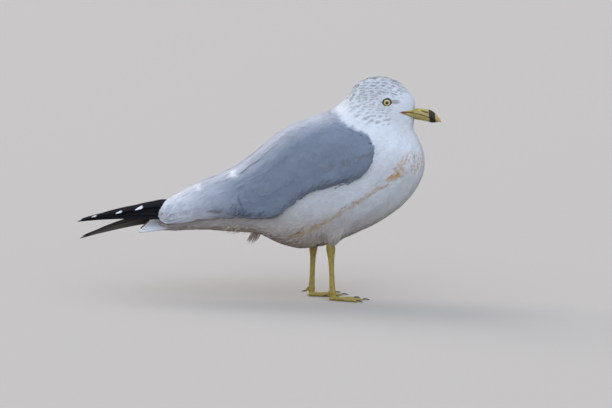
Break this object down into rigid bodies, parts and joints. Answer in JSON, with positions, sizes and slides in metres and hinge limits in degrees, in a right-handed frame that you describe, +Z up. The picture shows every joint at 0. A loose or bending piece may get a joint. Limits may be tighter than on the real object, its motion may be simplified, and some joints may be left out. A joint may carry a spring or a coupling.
{
  "type": "ring-billed gull",
  "caption": "Life-size gull standing on both webbed feet with folded wings, head turned a little to its right; a still figure for a shore, pier or museum scene.",
  "frame": {"origin": "on the ground, under the middle of the bird's length and width", "axes": "+X towards the bill, +Y to the bird's left, +Z up"},
  "size_m": [0.4356, 0.1236, 0.2677],
  "materials": {
    "white_feather": "matte white plumage",
    "pearl_grey_feather": "matte pearl-grey plumage",
    "black_feather": "satin black plumage",
    "bill_horn": "satin yellow horn",
    "leg_skin": "scaly greenish-yellow skin",
    "claw_horn": "satin black horn",
    "eye": "wet pale yellow eye"
  },
  "bodies": {
    "root": {"head": "white_feather", "neck": "white_feather", "trunk": "white_feather", "rump": "white_feather", "tail": "white_feather", "bill_upper": "bill_horn", "bill_lower": "bill_horn", "eye_right": "eye", "eye_left": "eye", "wing_right_scapulars": "pearl_grey_feather", "wing_right_coverts": "pearl_grey_feather", "wing_right_tertials": "pearl_grey_feather", "wing_left_scapulars": "pearl_grey_feather", "wing_left_coverts": "pearl_grey_feather", "wing_left_tertials": "pearl_grey_feather", "wing_right_primary_10": "black_feather", "wing_right_primary_9": "black_feather", "wing_right_primary_8": "black_feather", "wing_right_primary_7": "black_feather", "wing_right_primary_6": "black_feather", "wing_left_primary_10": "black_feather", "wing_left_primary_9": "black_feather", "wing_left_primary_8": "black_feather", "wing_left_primary_7": "black_feather", "wing_left_primary_6": "black_feather", "drumstick_right": "white_feather", "shank_right": "leg_skin", "foot_right": "leg_skin", "claw_right_inner": "claw_horn", "claw_right_middle": "claw_horn", "claw_right_outer": "claw_horn", "claw_right_hind": "claw_horn", "drumstick_left": "white_feather", "shank_left": "leg_skin", "foot_left": "leg_skin", "claw_left_inner": "claw_horn", "claw_left_middle": "claw_horn", "claw_left_outer": "claw_horn", "claw_left_hind": "claw_horn"}
  },
  "joints": []
}
